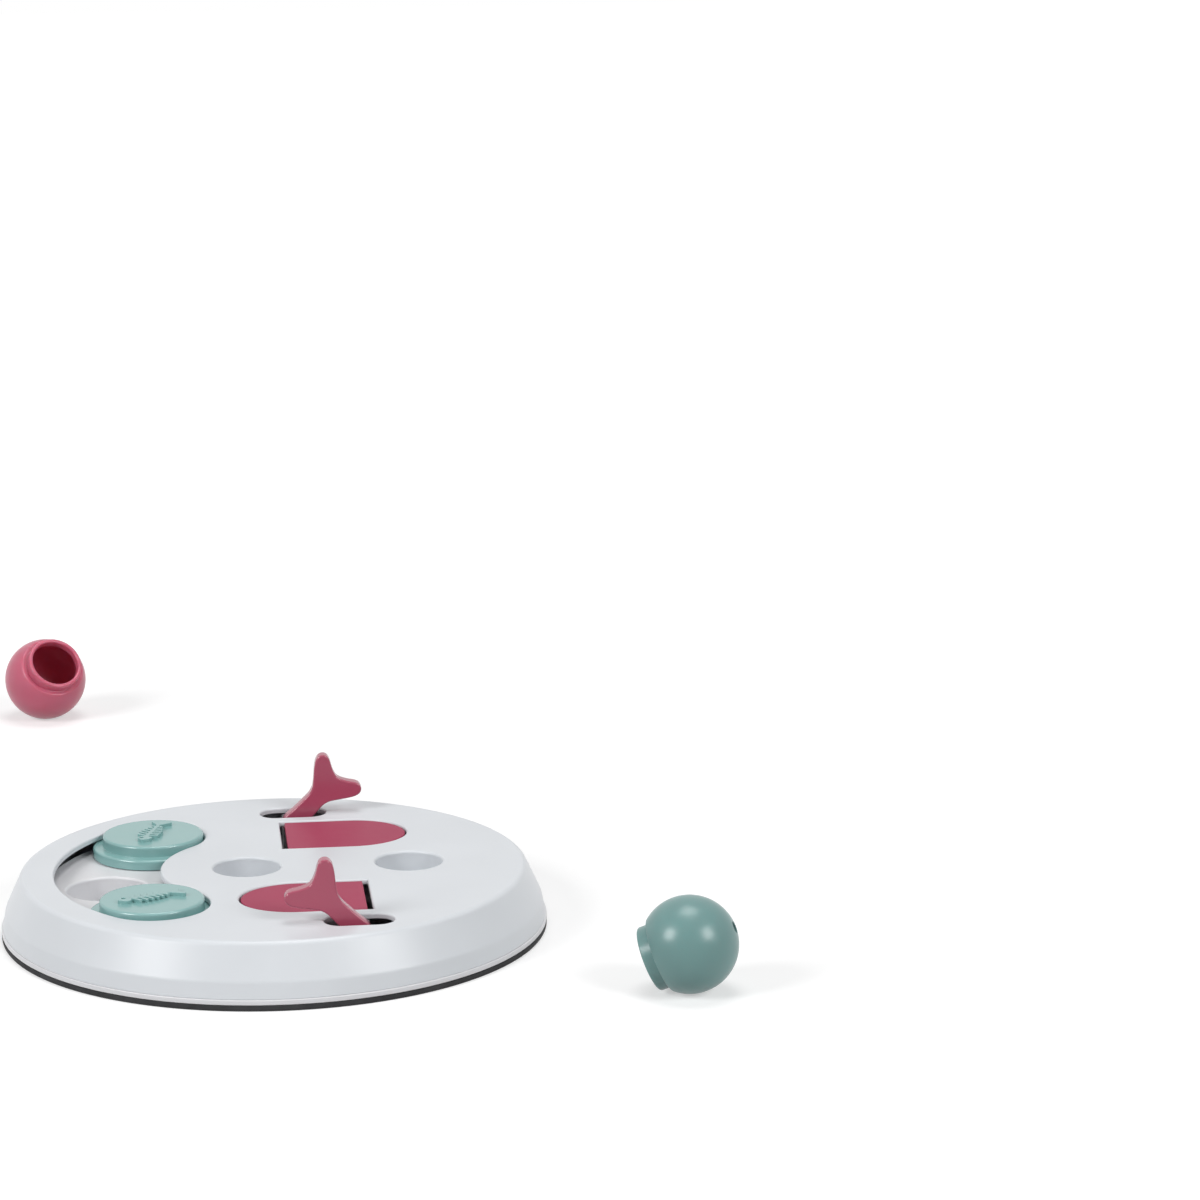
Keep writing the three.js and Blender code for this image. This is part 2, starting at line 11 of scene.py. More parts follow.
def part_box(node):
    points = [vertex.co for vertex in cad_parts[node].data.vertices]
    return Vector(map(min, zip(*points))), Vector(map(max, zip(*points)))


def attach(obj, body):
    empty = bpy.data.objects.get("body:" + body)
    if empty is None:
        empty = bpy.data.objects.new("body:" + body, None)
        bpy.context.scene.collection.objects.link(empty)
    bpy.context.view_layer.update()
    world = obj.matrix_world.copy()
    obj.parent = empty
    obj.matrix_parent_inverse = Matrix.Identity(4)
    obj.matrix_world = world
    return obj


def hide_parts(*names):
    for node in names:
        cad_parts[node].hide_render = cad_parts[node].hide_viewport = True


bl_info = {
    "name": "Treat Puzzle Board",
    "version": (1, 0, 0),
    "blender": (4, 5, 0),
    "location": "3D View > Sidebar > Puzzle Board",
    "description": "Builds a round treat puzzle board with sliders, flaps, levers and two balls",
    "category": "Add Mesh",
}

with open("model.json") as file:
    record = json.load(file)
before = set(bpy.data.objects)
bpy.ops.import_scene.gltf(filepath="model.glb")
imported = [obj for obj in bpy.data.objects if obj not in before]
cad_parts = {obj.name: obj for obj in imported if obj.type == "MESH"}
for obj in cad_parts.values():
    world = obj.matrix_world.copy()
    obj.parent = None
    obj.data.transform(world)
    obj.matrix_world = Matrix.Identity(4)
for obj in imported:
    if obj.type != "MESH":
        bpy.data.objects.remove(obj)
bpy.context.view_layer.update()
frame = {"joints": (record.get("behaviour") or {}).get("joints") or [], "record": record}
MM = 0.001


def middle(low, high):
    """The point halfway between two corners."""
    return (Vector(low) + Vector(high)) / 2


# Places that the frame gives
COVER_LOW, COVER_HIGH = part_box("top_cover")
TRAY_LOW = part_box("base_tray")[0]
DECK_LOW, DECK_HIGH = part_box("slider_deck")
BASIN_LOW, BASIN_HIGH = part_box("basin_front")
RING_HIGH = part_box("rubber_ring")[1]
FLAP_LOW, FLAP_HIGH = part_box("flap_front")
LEVER_LOW, LEVER_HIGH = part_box("lever_front")
PIN_LOW, PIN_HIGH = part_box("hinge_pin_front")
SCREWS = {name: middle(*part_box(name)).xy for name in (f"screw_{i}" for i in range(1, 7))}
SCREW_LOW, SCREW_HIGH = (corner.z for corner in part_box("screw_1"))
OPENINGS = {o["name"]: o["box_m"] for o in frame["record"]["physics"]["openings"]}
HINGES = {j["name"]: Vector(j["pos_m"]) for j in frame["joints"] if j["name"].startswith("flap")}
HINGE = HINGES["flap_front_hinge"]
PAIR_MIDDLE = middle(HINGE, HINGES["flap_back_hinge"])
SLIDERS = {side: middle(*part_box(f"slider_{side}")) for side in ("front", "back")}
SLOT_RADIUS = SLIDERS["back"].xy.length
SLOT_TURN = math.atan2(SLIDERS["back"].y, -SLIDERS["back"].x)  # the back slider rests at the slot's end
HOLES = [middle(*OPENINGS[name]).xy for name in ("round_hole_left", "round_hole_right")]

# Gaps and tolerances
REST_GAP = 0.3 * MM  # between pieces that lie on each other
SPARE = 4 * MM  # how far a cutter runs past what it cuts
HAIR = 0.02 * MM  # keeps two faces out of one plane
NEAR = 0.005 * MM  # how close a point lies to the place it is picked by
WELD = 0.001 * MM  # points this close become one
SHARP_COSINE = 0.5  # between two faces' normals: below it, their edge is sharp
SMOOTH_ANGLE = math.radians(35)  # between two faces: below it, they are shaded as one
Y_AXIS, Z_AXIS = 1, 2

# Steps round each shape
RIM_STEPS = 144  # cover, tray and ring
KNOB_STEPS = 96  # sliders and balls
CUP_STEPS = 72
BARREL_STEPS = 48
PIN_STEPS = 40  # pins, screws and screw pockets
BORE_STEPS = 32  # pin bores and screw bosses
HOLE_STEPS = 24  # the smallest holes
NOSE_STEPS = 40  # a flap's nose
SLOT_OUTER_STEPS = 36
SLOT_INNER_STEPS = 28  # the ends too
BALL_OUTER_STEPS = 44
BALL_INNER_STEPS = 36
LEVER_STEPS = 4  # between two points of a lever's edge
CORNER_STEPS = 10  # in each radian of a rounded corner

# Small sizes of the cover
SLOPE_WALL = 1.07  # level thickness of the sloping wall, over the cover's
CREASE_ROUND = 0.7 * MM  # between the foot and the slope
COVER_FOOT_ROUND = 0.3 * MM
BOSS_FOOT = 7.3 * MM  # height at which the screw bosses end
BOSS_RADIUS = 3.8 * MM
BOSS_BORE = 1.5 * MM
BORE_SPARE = 1 * MM  # beyond a screw's point
HEEL_GAP = 2.3 * MM  # open behind a flap's heel
LEVER_SLOT_HALF = 7.5 * MM
LEVER_SLOT_REACH = 14.33 * MM  # to each side of the hinge line
LEVER_SLOT_CORNER = 0.98  # of the half width, for nearly round ends

# Small sizes of the tray and what stands in it
UPSTAND_INSET = 4.5 * MM  # from the band to the upstand inside the cover
UPSTAND_WALL = 1.6 * MM
UPSTAND_HEIGHT = 3.6 * MM
BAND_ROUND = 0.45 * MM
TRAY_FOOT_ROUND = 0.6 * MM
POST_ROOT = 0.2 * MM  # above the tray's underside, where its posts start
SADDLE_END = 3.5 * MM  # from a pin's end to a saddle's middle
SADDLE_SIDE = 3.2 * MM  # from a flap's opening to a saddle's middle
SADDLE_HALF_WIDTH = 4.5 * MM
SADDLE_HALF_DEPTH = 1.5 * MM
SADDLE_RISE = 1.4 * MM  # above the hinge line
POCKET_RADIUS = 5.4 * MM
POCKET_SEAT = 2 * MM  # above the tray's floor
POCKET_ROOF = 4.2 * MM
HEAD_PLAY = 0.5 * MM  # round a screw's head
DECK_ROUND = 0.5 * MM
BASIN_HEEL = 0.5 * MM  # between a basin and its flap's barrel
BASIN_INSET = 1 * MM  # from the flap's opening
BASIN_FLOOR_ROUND = 1 * MM
BASIN_LIP_ROUND = 0.35 * MM

# Small sizes of the other pieces
RING_FOOT_ROUND = 0.7 * MM
RING_TOP_ROUND = 0.35 * MM
RING_INNER_ROUND = 0.4 * MM
NECK_ROUND = 0.4 * MM  # where a slider's knob meets its flange
FLANGE_FOOT_ROUND = 0.3 * MM
FLAP_TOP_ROUND = 0.55 * MM
FLAP_UNDER_ROUND = 0.3 * MM
BARREL_INSET = 1 * MM  # from each side of a flap
PIN_END_ROUND = 0.35 * MM
SCREW_HEAD_HEIGHT = 2 * MM
SCREW_HEAD_ROUND = 0.6 * MM
SCREW_POINT = 0.8 * MM  # length of its taper
SCREW_TIP = 0.3 * MM  # radius at its end
SCREW_SLOT = 0.8 * MM  # width and depth
COLLAR_ROUND = 0.8 * MM
LEDGE_ROUND = 0.5 * MM
LEDGE_CORNER = 0.3 * MM  # where a ball's ledge meets its collar

# The slider's raised figure, drawn 28 mm long: corners in mm, with the radius of each
FISH_DRAWN = 28
FISH_HEAD = [(-14, 0, 1.2), (-9.8, -4.3, 1.8), (-8.2, 0, 1.6), (-9.8, 4.3, 1.8)]
FISH_SPINE = [(-9, -0.8, 0.2), (9, -0.6, 0.2), (9, 0.6, 0.2), (-9, 0.8, 0.2)]
FISH_TAIL = [(6.4, 0, 0.5), (13.6, -5.9, 0.7), (10.8, 0, 0.6), (13.6, 5.9, 0.7)]
FISH_EYE = (-10.9, 1.2)
EYE_RADIUS = 0.8
# Place and half length of each pair of ribs, in mm
FISH_RIBS = [(-8.4, 4.2), (-5.9, 4.4), (-3.4, 4.2), (-0.9, 3.7), (1.6, 3), (4.1, 2.2)]
RIB_LEAN = 0.45  # of the half length
RIB_WIDTH = 1.3
RIB_ROOT_ROUND, RIB_TIP_ROUND = 0.1, 0.4
FISH_TURN = {"front": math.radians(22.5), "back": math.radians(72)}
FISH_ROOT = 0.6 * MM  # how deep the figure starts in the knob
FISH_VOXEL = 0.12 * MM

# One edge of a lever from the back of its hub to its notch, in mm along and across
LEVER_EDGE = [
    (-5, 0), (-3.5, 3.6), (0, 4.9), (5, 4.4), (10, 4.1), (14.5, 4), (17.4, 4.7), (19.4, 5.9),
    (22.4, 8.2), (25.1, 10.3), (27.7, 11.9), (30, 12.4), (31.9, 11.5), (32.7, 9.6), (32.1, 7.5),
    (30.5, 4.9), (29.2, 2.2), (28.7, 0),
]
LEVER_LEAN = math.radians(43.5)

BALL_COLLARS = {"teal": (-0.897, 0.211, -0.388), "pink": (0.319, -0.698, 0.642)}  # where they point
BALL_GLOW = {"teal": 0.3, "pink": 0.9}  # share of light that goes into the plastic
GLOSS_DRIFT = 0.02  # how far roughness wanders
NOISE_SPAN = (0.3, 0.7)  # where most of a noise lies

# The photograph's view, fitted to the board's own frame
CAMERA_PLACE = Vector((-0.0555, -1.7947, 0.5599))
CAMERA_TILT = math.radians(90 - 13.18)
CAMERA_YAW = math.radians(-6.2)
CAMERA_ROLL = math.radians(-0.45)
CAMERA_LENS = 132.33
CAMERA_SENSOR = 36

# The studio, in metres and watts
FLOOR_SIZE = 8
FLOOR_LIFT = (0.47, 1)  # how much whiter the floor looks than it is lit, near the board and far off
FLOOR_REACH = (0.3, 1.4)  # from the board's middle, between which that lift grows
WORLD_LIGHT = 0.14
LAMP_SIZE = 0.9
LAMPS = {
    "top_light": ((0.15, 0.2, 1.9), 13),
    "left_light": ((-1.7, -1.0, 1.3), 32),
    "right_light": ((1.45, -1.35, 1.25), 24),
}


def length(name, description, default):
    """A length property in metres."""
    return FloatProperty(name=name, description=description, default=default, unit="LENGTH", precision=5)


def colour(name, description, default):
    """A colour property."""
    return FloatVectorProperty(
        name=name, description=description, default=default, subtype="COLOR", size=3, min=0, max=1
    )


class BoardSizes(bpy.types.PropertyGroup):
    """Sizes of the board and the balls"""

    cover_wall: length("Cover wall", "Thickness of the cover", 2.2 * MM)
    foot_height: length("Foot height", "Height of the cover's steep foot", 6.7 * MM)
    foot_step: length("Foot step", "How far the tray's band stands out below the cover", 0.5 * MM)
    foot_draft: length("Foot draft", "How far the foot leans in", 1.8 * MM)
    rim_inset: length("Rim inset", "How far the rim lies inside the foot", 8.7 * MM)
    rim_round: length("Rim round", "Radius of the rim", 1.8 * MM)
    lip_round: length("Lip round", "Radius of the edges of the cover's openings", 0.9 * MM)
    slot_width: length("Slot width", "Width of the slider slot", 44.6 * MM)
    hole_radius: length("Hole radius", "Radius of the round holes", 14.2 * MM)
    hole_depth: length("Hole depth", "Depth of the round holes", 16 * MM)
    hole_wall: length("Hole wall", "Thickness of the round holes' cups", 1.8 * MM)
    cup_radius: length("Cup radius", "Radius of the cups under the sliders", 17 * MM)
    cup_lip: length("Cup lip", "Radius of the lips of cups and round holes", 1.2 * MM)
    cup_round: length("Cup round", "Radius at the bottom of cups and round holes", 1 * MM)
    tray_wall: length("Tray wall", "Thickness of the tray, the deck and the cups", 1.8 * MM)
    basin_wall: length("Basin wall", "Thickness of the basins", 1.6 * MM)
    ring_width: length("Ring width", "Width of the rubber ring", 10 * MM)
    knob_wall: length("Knob wall", "Thickness of a slider", 2.2 * MM)
    knob_round: length("Knob round", "Radius of a slider's edges", 1.1 * MM)
    flange_lap: length("Flange lap", "How far a slider's flange reaches under the cover", 3.6 * MM)
    flange_height: length("Flange height", "Height of a slider's flange", 4.3 * MM)
    fish_length: length("Figure length", "Length of the raised figure on a slider", 31 * MM)
    fish_rise: length("Figure rise", "Height of the raised figure", 1.5 * MM)
    flap_gap: length("Flap gap", "Gap round a flap, and round a slider in its slot", 0.7 * MM)
    flap_nose: length("Flap nose", "Length of the rounded nose of a flap's opening", 24 * MM)
    flap_wall: length("Flap wall", "Thickness of a flap", 2.2 * MM)
    barrel_radius: length("Barrel radius", "Radius of a flap's hinge barrel", 3.5 * MM)
    lever_round: length("Lever round", "Radius of a lever's edges", 0.8 * MM)
    pin_radius: length("Pin radius", "Radius of the hinge pins", 2 * MM)
    pin_flat: length("Pin flat", "Depth of the flat along a hinge pin", 0.6 * MM)
    screw_head: length("Screw head", "Radius of the screws' heads", 3 * MM)
    screw_shank: length("Screw shank", "Radius of the screws' shanks", 1.2 * MM)
    ball_radius: length("Ball radius", "Radius of the balls", 20 * MM)
    ball_wall: length("Ball wall", "Thickness of the balls", 2 * MM)
    collar_radius: length("Collar radius", "Outer radius of a ball's collar", 13.5 * MM)
    collar_wall: length("Collar wall", "Thickness of a ball's collar", 1.9 * MM)
    ledge_width: length("Ledge width", "Width of the flat ledge round a ball's collar", 2 * MM)
    collar_height: length("Collar height", "Height of a ball's collar end above its centre", 17.6 * MM)
    vent_radius: length("Vent radius", "Radius of the hole opposite the collar", 2.5 * MM)


class BoardColours(bpy.types.PropertyGroup):
    """Colours of the board and the balls"""

    cover: colour("Cover", "Light cool grey plastic of the cover", (0.66, 0.685, 0.715))
    tray: colour("Tray", "Plastic of the tray, the deck and the basins", (0.69, 0.69, 0.71))
    ring: colour("Ring", "Dark rubber of the ring", (0.034, 0.034, 0.036))
    slider: colour("Sliders", "Teal plastic of the sliders", (0.21, 0.40, 0.39))
    flap: colour("Flaps and levers", "Dusty rose plastic of the flaps and levers", (0.38, 0.066, 0.117))
    teal_ball: colour("Teal ball", "Plastic of the teal ball", (0.145, 0.28, 0.272))
    pink_ball: colour("Pink ball", "Plastic of the pink ball", (0.55, 0.115, 0.19))
    steel: colour("Steel", "Steel of the pins and screws", (0.55, 0.56, 0.57))
    floor: colour("Floor", "Pale floor under the board", (0.6, 0.6, 0.6))


# Modelling by hand: selection, lines, turned shapes, prisms and booleans


def to_object_mode():
    """Leaves edit mode and deselects every object."""
    if bpy.context.mode != "OBJECT":
        bpy.ops.object.mode_set(mode="OBJECT")
    bpy.ops.object.select_all(action="DESELECT")


def take(piece):
    """Makes a piece the only selected and active object."""
    to_object_mode()
    piece.select_set(True)
    bpy.context.view_layer.objects.active = piece


def edit(piece):
    """Opens a piece in edit mode with all of it selected."""
    take(piece)
    bpy.ops.object.mode_set(mode="EDIT")
    bpy.ops.mesh.select_mode(type="VERT")
    bpy.ops.mesh.select_all(action="SELECT")


def named(name):
    """Names the object that was just added."""
    piece = bpy.context.active_object
    piece.name = piece.data.name = name
    return piece


def settle():
    """Puts the place, turn and scale of the selected piece into its mesh."""
    bpy.ops.object.transform_apply(location=True, rotation=True, scale=True)


def modify(piece, kind, **values):
    """Gives a piece a modifier with these values, and applies it."""
    take(piece)
    bpy.ops.object.modifier_add(type=kind)
    modifier = piece.modifiers[-1]
    for name, value in values.items():
        setattr(modifier, name, value)
    bpy.ops.object.modifier_apply(modifier=modifier.name)


def draw(name, points):
    """Walks a single point along a line, leaving edges behind it, and stays in edit mode."""
    to_object_mode()
    bpy.ops.mesh.primitive_plane_add(size=MM)
    piece = named(name)
    edit(piece)
    bpy.ops.mesh.merge(type="CENTER")
    points = [Vector(p) for p in points]
    bpy.ops.transform.translate(value=points[0])
    for here, there in zip(points, points[1:]):
        bpy.ops.mesh.extrude_region_move(TRANSFORM_OT_translate={"value": there - here})
    bpy.ops.mesh.select_all(action="SELECT")
    return piece


def close_shape():
    """Merges doubled points, fills open ends and turns all faces outwards."""
    bpy.ops.mesh.select_all(action="SELECT")
    bpy.ops.mesh.remove_doubles(threshold=WELD)
    bpy.ops.mesh.fill_holes(sides=0)
    bpy.ops.mesh.select_all(action="SELECT")
    bpy.ops.mesh.normals_make_consistent(inside=False)


def turn(name, profile, steps, centre=(0, 0)):
    """Spins a profile of radius and height about an upright axis, and closes it."""
    x, y = centre
    piece = draw(name, [(x + r, y, z) for r, z in profile])
    bpy.ops.mesh.spin(steps=steps, angle=math.tau, center=(x, y, 0), axis=(0, 0, 1))
    close_shape()
    return piece


def pull(name, outline, step):
    """Fills a closed outline and extrudes it by a step."""
    piece = draw(name, outline)
    bpy.ops.mesh.edge_face_add()
    bpy.ops.mesh.extrude_region_move(TRANSFORM_OT_translate={"value": step})
    close_shape()
    return piece


def prism(name, outline, low, high):
    """Pulls an outline of x and y points up from one height to another."""
    return pull(name, [(x, y, low) for x, y in outline], (0, 0, high - low))


def rod(name, radius, start, end, steps):
    """Adds a cylinder between two points."""
    to_object_mode()
    axis = Vector(end) - Vector(start)
    bpy.ops.mesh.primitive_cylinder_add(
        vertices=steps,
        radius=radius,
        depth=axis.length,
        location=middle(start, end),
        rotation=axis.to_track_quat("Z", "Y").to_euler(),
    )
    settle()
    return named(name)


def upright_rod(name, radius, centre, low, high, steps):
    """Adds a cylinder about an upright axis between two heights."""
    return rod(name, radius, (*centre, low), (*centre, high), steps)


def hinge_rod(name, radius, start, end, steps):
    """Adds a cylinder on the front pair's hinge line."""
    return rod(name, radius, (HINGE.x, start, HINGE.z), (HINGE.x, end, HINGE.z), steps)


def box(name, low, high):
    """Adds a block between two corners."""
    to_object_mode()
    bpy.ops.mesh.primitive_cube_add(
        size=1, location=middle(low, high), scale=Vector(high) - Vector(low)
    )
    settle()
    return named(name)


def combine(piece, tool, operation):
    """Joins a tool to a piece or cuts it away, and deletes the tool."""
    modify(piece, "BOOLEAN", operation=operation, solver="EXACT", object=tool)
    take(tool)
    bpy.ops.object.delete()


def add(piece, tool):
    """Joins a tool to a piece."""
    combine(piece, tool, "UNION")


def cut(piece, tool):
    """Cuts a tool out of a piece."""
    combine(piece, tool, "DIFFERENCE")


def copy_of(piece, name):
    """Copies a piece with a mesh of its own."""
    take(piece)
    bpy.ops.object.duplicate(linked=False)
    return named(name)


def turned_copy(piece, name):
    """Copies a piece of the front pair to the back pair, turned half round."""
    copy = copy_of(piece, name)
    bpy.ops.transform.rotate(value=math.pi, orient_axis="Z", center_override=PAIR_MIDDLE)
    settle()
    return copy


def for_both_pairs(piece, tool, operation):
    """Uses a tool of the front pair, and its copy at the back pair, on one piece."""
    back = turned_copy(tool, tool.name + "_back")
    combine(piece, tool, operation)
    combine(piece, back, operation)


def round_edges(piece, test, width, segments):
    """Bevels the edges that pass a test of their two ends and the normals of their faces."""
    edit(piece)
    bpy.ops.mesh.select_mode(type="EDGE")
    bpy.ops.mesh.select_all(action="DESELECT")
    bpy.ops.object.mode_set(mode="OBJECT")
    mesh = piece.data
    normals = {}
    for face in mesh.polygons:
        for key in face.edge_keys:
            normals.setdefault(key, []).append(face.normal)
    for edge in mesh.edges:
        ends = [mesh.vertices[i].co for i in edge.vertices]
        edge.select = test(ends, normals.get(edge.key, []))
    bpy.ops.object.mode_set(mode="EDIT")
    bpy.ops.mesh.bevel(offset=width, segments=segments, affect="EDGES")


def ring_at(radius, height, centre=(0, 0)):
    """A test for the edges of a circle at a radius and height."""
    centre = Vector(centre)

    def test(ends, _):
        on_circle = all(abs((p.xy - centre).length - radius) < NEAR for p in ends)
        return on_circle and all(abs(p.z - height) < NEAR for p in ends)

    return test


def sharp_at(axis, value):
    """A test for the sharp edges that lie in a plane across an axis."""

    def test(ends, normals):
        flat = all(abs(p[axis] - value) < NEAR for p in ends)
        return flat and len(normals) == 2 and normals[0].dot(normals[1]) < SHARP_COSINE

    return test


def rounded(corners):
    """The points of a closed outline whose corners are x, y and a radius."""
    points = []
    for i, (x, y, radius) in enumerate(corners):
        corner = Vector((x, y))
        back = (Vector(corners[i - 1][:2]) - corner).normalized()
        ahead = (Vector(corners[(i + 1) % len(corners)][:2]) - corner).normalized()
        half = back.angle(ahead) / 2
        centre = corner + (back + ahead).normalized() * radius / math.sin(half)
        first = corner + back * radius / math.tan(half) - centre
        last = corner + ahead * radius / math.tan(half) - centre
        steps = max(2, round(CORNER_STEPS * (math.pi - 2 * half)))
        sweep = math.atan2(first.cross(last), first.dot(last))
        for step in range(steps + 1):
            points.append(centre + Matrix.Rotation(sweep * step / steps, 2) @ first)
    return points


def smooth_line(points, steps):
    """A smooth line through points, with the same number of steps between each two."""
    line = []
    for i in range(len(points) - 1):
        a, b, c, d = (Vector(points[min(max(k, 0), len(points) - 1)]) for k in range(i - 1, i + 3))
        for step in range(steps):
            t = step / steps
            bend = (2 * a - 5 * b + 4 * c - d) * t + (3 * b - a - 3 * c + d) * t * t
            line.append(b + 0.5 * t * (c - a + bend))
    return line + [Vector(points[-1])]


def arc(centre, radius, start, end, steps):
    """Points along an arc, without its last one."""
    turns = [start + (end - start) * step / steps for step in range(steps)]
    return [Vector(centre) + radius * Vector((math.cos(a), math.sin(a))) for a in turns]


def bent_slot(half):
    """The outline of a slot round the board's middle, with round ends at the outer cups."""
    first, last = math.pi - SLOT_TURN, math.pi + SLOT_TURN
    ends = [SLOT_RADIUS * Vector((math.cos(a), math.sin(a))) for a in (first, last)]
    return [
        *arc((0, 0), SLOT_RADIUS + half, first, last, SLOT_OUTER_STEPS),
        *arc(ends[1], half, last, last + math.pi, SLOT_INNER_STEPS),
        *arc((0, 0), SLOT_RADIUS - half, last, first, SLOT_INNER_STEPS),
        *arc(ends[0], half, first - math.pi, first, SLOT_INNER_STEPS),
    ]


def flap_outline(sizes, heel, inset=0):
    """The front flap's opening from a heel behind the hinge line, or an outline inside it."""
    nose = sizes.flap_nose - inset
    half = (FLAP_HIGH.y - FLAP_LOW.y) / 2 + sizes.flap_gap - inset
    x, y = FLAP_LOW.x - sizes.flap_gap + sizes.flap_nose, middle(FLAP_LOW, FLAP_HIGH).y
    turns = [math.pi * (0.5 + step / NOSE_STEPS) for step in range(NOSE_STEPS + 1)]
    return [
        (HINGE.x + heel - inset, y + half),
        *((x + nose * math.cos(a), y + half * math.sin(a)) for a in turns),
        (HINGE.x + heel - inset, y - half),
    ]


def cup_cutter(name, sizes, radius, bottom, top, centre):
    """A cutter for a round cup, with a rounded bottom and a flared lip."""
    flare, wide = top + HAIR, radius + 2 * sizes.cup_lip
    cutter = turn(name, [
        (0, bottom),
        (radius, bottom),
        (radius, flare),
        (wide, flare),
        (wide, top + SPARE),
        (0, top + SPARE),
    ], CUP_STEPS, centre)
    round_edges(cutter, ring_at(radius, bottom, centre), sizes.cup_round, segments=5)
    round_edges(cutter, ring_at(radius, flare, centre), sizes.cup_lip, segments=4)
    return cutter


def dress(piece, material, body, node):
    """Smooths a finished piece, gives it its material and ties it to the frame."""
    take(piece)
    bpy.ops.object.shade_smooth_by_angle(angle=SMOOTH_ANGLE)
    modify(piece, "WEIGHTED_NORMAL", keep_sharp=True)
    piece.data.materials.clear()
    piece.data.materials.append(material)
    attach(piece, body)
    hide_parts(node)


# Materials, all on Object coordinates


def new_material(name):
    """An empty node material, with its tree and shader."""
    material = bpy.data.materials.new(name)
    material.use_nodes = True
    return material, material.node_tree, material.node_tree.nodes["Principled BSDF"]


def set_inputs(node, values):
    """Sets inputs of a node by their names."""
    for name, value in values.items():
        node.inputs[name].default_value = value


def noise(tree, scale, detail, roughness=0.5, stretch=(1, 1, 1)):
    """Noise on Object coordinates, as the socket that carries its value."""
    place = tree.nodes.new("ShaderNodeTexCoord")
    mapping = tree.nodes.new("ShaderNodeMapping")
    texture = tree.nodes.new("ShaderNodeTexNoise")
    set_inputs(mapping, {"Scale": stretch})
    set_inputs(texture, {"Scale": scale, "Detail": detail, "Roughness": roughness})
    tree.links.new(place.outputs["Object"], mapping.inputs["Vector"])
    tree.links.new(mapping.outputs["Vector"], texture.inputs["Vector"])
    return texture.outputs["Fac"]


def spread(tree, value, low, high, span=NOISE_SPAN):
    """Maps a span of a value to a range."""
    node = tree.nodes.new("ShaderNodeMapRange")
    set_inputs(node, {"From Min": span[0], "From Max": span[1], "To Min": low, "To Max": high})
    tree.links.new(value, node.inputs["Value"])
    return node.outputs["Result"]


def tint(tree, shader, base, value, drift):
    """Lets the base colour drift a little darker and lighter with a noise."""
    mix = tree.nodes.new("ShaderNodeMix")
    mix.data_type = "RGBA"
    darker = [c * (1 - drift) for c in base]
    lighter = [min(1, c * (1 + drift)) for c in base]
    set_inputs(mix, {"A": (*darker, 1), "B": (*lighter, 1)})
    tree.links.new(spread(tree, value, 0, 1), mix.inputs["Factor"])
    tree.links.new(mix.outputs["Result"], shader.inputs["Base Color"])


def bump(tree, shader, value, height, strength):
    """Raises the surface by a height where a value is high."""
    node = tree.nodes.new("ShaderNodeBump")
    set_inputs(node, {"Strength": strength, "Distance": height})
    tree.links.new(value, node.inputs["Height"])
    tree.links.new(node.outputs["Normal"], shader.inputs["Normal"])


def moulded_plastic(name, base, gloss, sheen=0.5, glow=0):
    """Moulded plastic with a fine eroded grain, a slow drift of tone and gloss, and some depth."""
    material, tree, shader = new_material(name)
    tint(tree, shader, base, noise(tree, scale=30, detail=2), drift=0.02)
    patches = noise(tree, scale=120, detail=2)
    satin = spread(tree, patches, gloss - GLOSS_DRIFT, gloss + GLOSS_DRIFT)
    tree.links.new(satin, shader.inputs["Roughness"])
    bump(tree, shader, noise(tree, scale=1500, detail=1), height=0.012 * MM, strength=0.3)
    set_inputs(shader, {
        "IOR": 1.5,
        "Specular IOR Level": sheen,
        "Subsurface Weight": glow,
        "Subsurface Radius": (1, 0.45, 0.5),
        "Subsurface Scale": 4 * MM,
    })
    return material


def ring_rubber(base):
    """Matt rubber with a pebbled skin and dusty patches."""
    material, tree, shader = new_material("foot_rubber")
    tint(tree, shader, base, noise(tree, scale=90, detail=5), drift=0.25)
    dust = spread(tree, noise(tree, scale=220, detail=3), low=0.72, high=0.9)
    tree.links.new(dust, shader.inputs["Roughness"])
    bump(tree, shader, noise(tree, scale=1500, detail=3), height=0.04 * MM, strength=0.6)
    set_inputs(shader, {"Specular IOR Level": 0.3})
    return material


def brushed_steel(base):
    """Drawn steel with fine marks along the piece."""
    material, tree, shader = new_material("drawn_steel")
    set_inputs(shader, {"Metallic": 1})
    marks = noise(tree, scale=900, detail=4, roughness=0.6, stretch=(1, 0.04, 1))
    tint(tree, shader, base, marks, drift=0.08)
    tree.links.new(spread(tree, marks, low=0.24, high=0.4), shader.inputs["Roughness"])
    bump(tree, shader, marks, height=0.01 * MM, strength=0.4)
    return material


def seen_rays(tree):
    """A socket that is 1 for rays from the camera, off a shiny surface or through a clear one."""
    path = tree.nodes.new("ShaderNodeLightPath")
    seen = path.outputs["Is Camera Ray"]
    for kind in ("Is Glossy Ray", "Is Transmission Ray"):
        either = tree.nodes.new("ShaderNodeMath")
        either.operation = "MAXIMUM"
        tree.links.new(seen, either.inputs[0])
        tree.links.new(path.outputs[kind], either.inputs[1])
        seen = either.outputs["Value"]
    return seen


def floor_paint(base):
    """Pale matt floor, lifted to white where it is seen lit."""
    material, tree, shader = new_material("studio_floor")
    tint(tree, shader, base, noise(tree, scale=2, detail=2), drift=0.01)
    set_inputs(shader, {"Roughness": 0.9, "Specular IOR Level": 0, "Emission Color": (1, 1, 1, 1)})
    place = tree.nodes.new("ShaderNodeTexCoord")
    reach = tree.nodes.new("ShaderNodeVectorMath")
    reach.operation = "LENGTH"
    tree.links.new(place.outputs["Object"], reach.inputs[0])
    lift = tree.nodes.new("ShaderNodeMath")
    lift.operation = "MULTIPLY"
    tree.links.new(spread(tree, reach.outputs["Value"], *FLOOR_LIFT, FLOOR_REACH), lift.inputs[0])
    tree.links.new(seen_rays(tree), lift.inputs[1])
    tree.links.new(lift.outputs["Value"], shader.inputs["Emission Strength"])
    return material


# The pieces and the stage


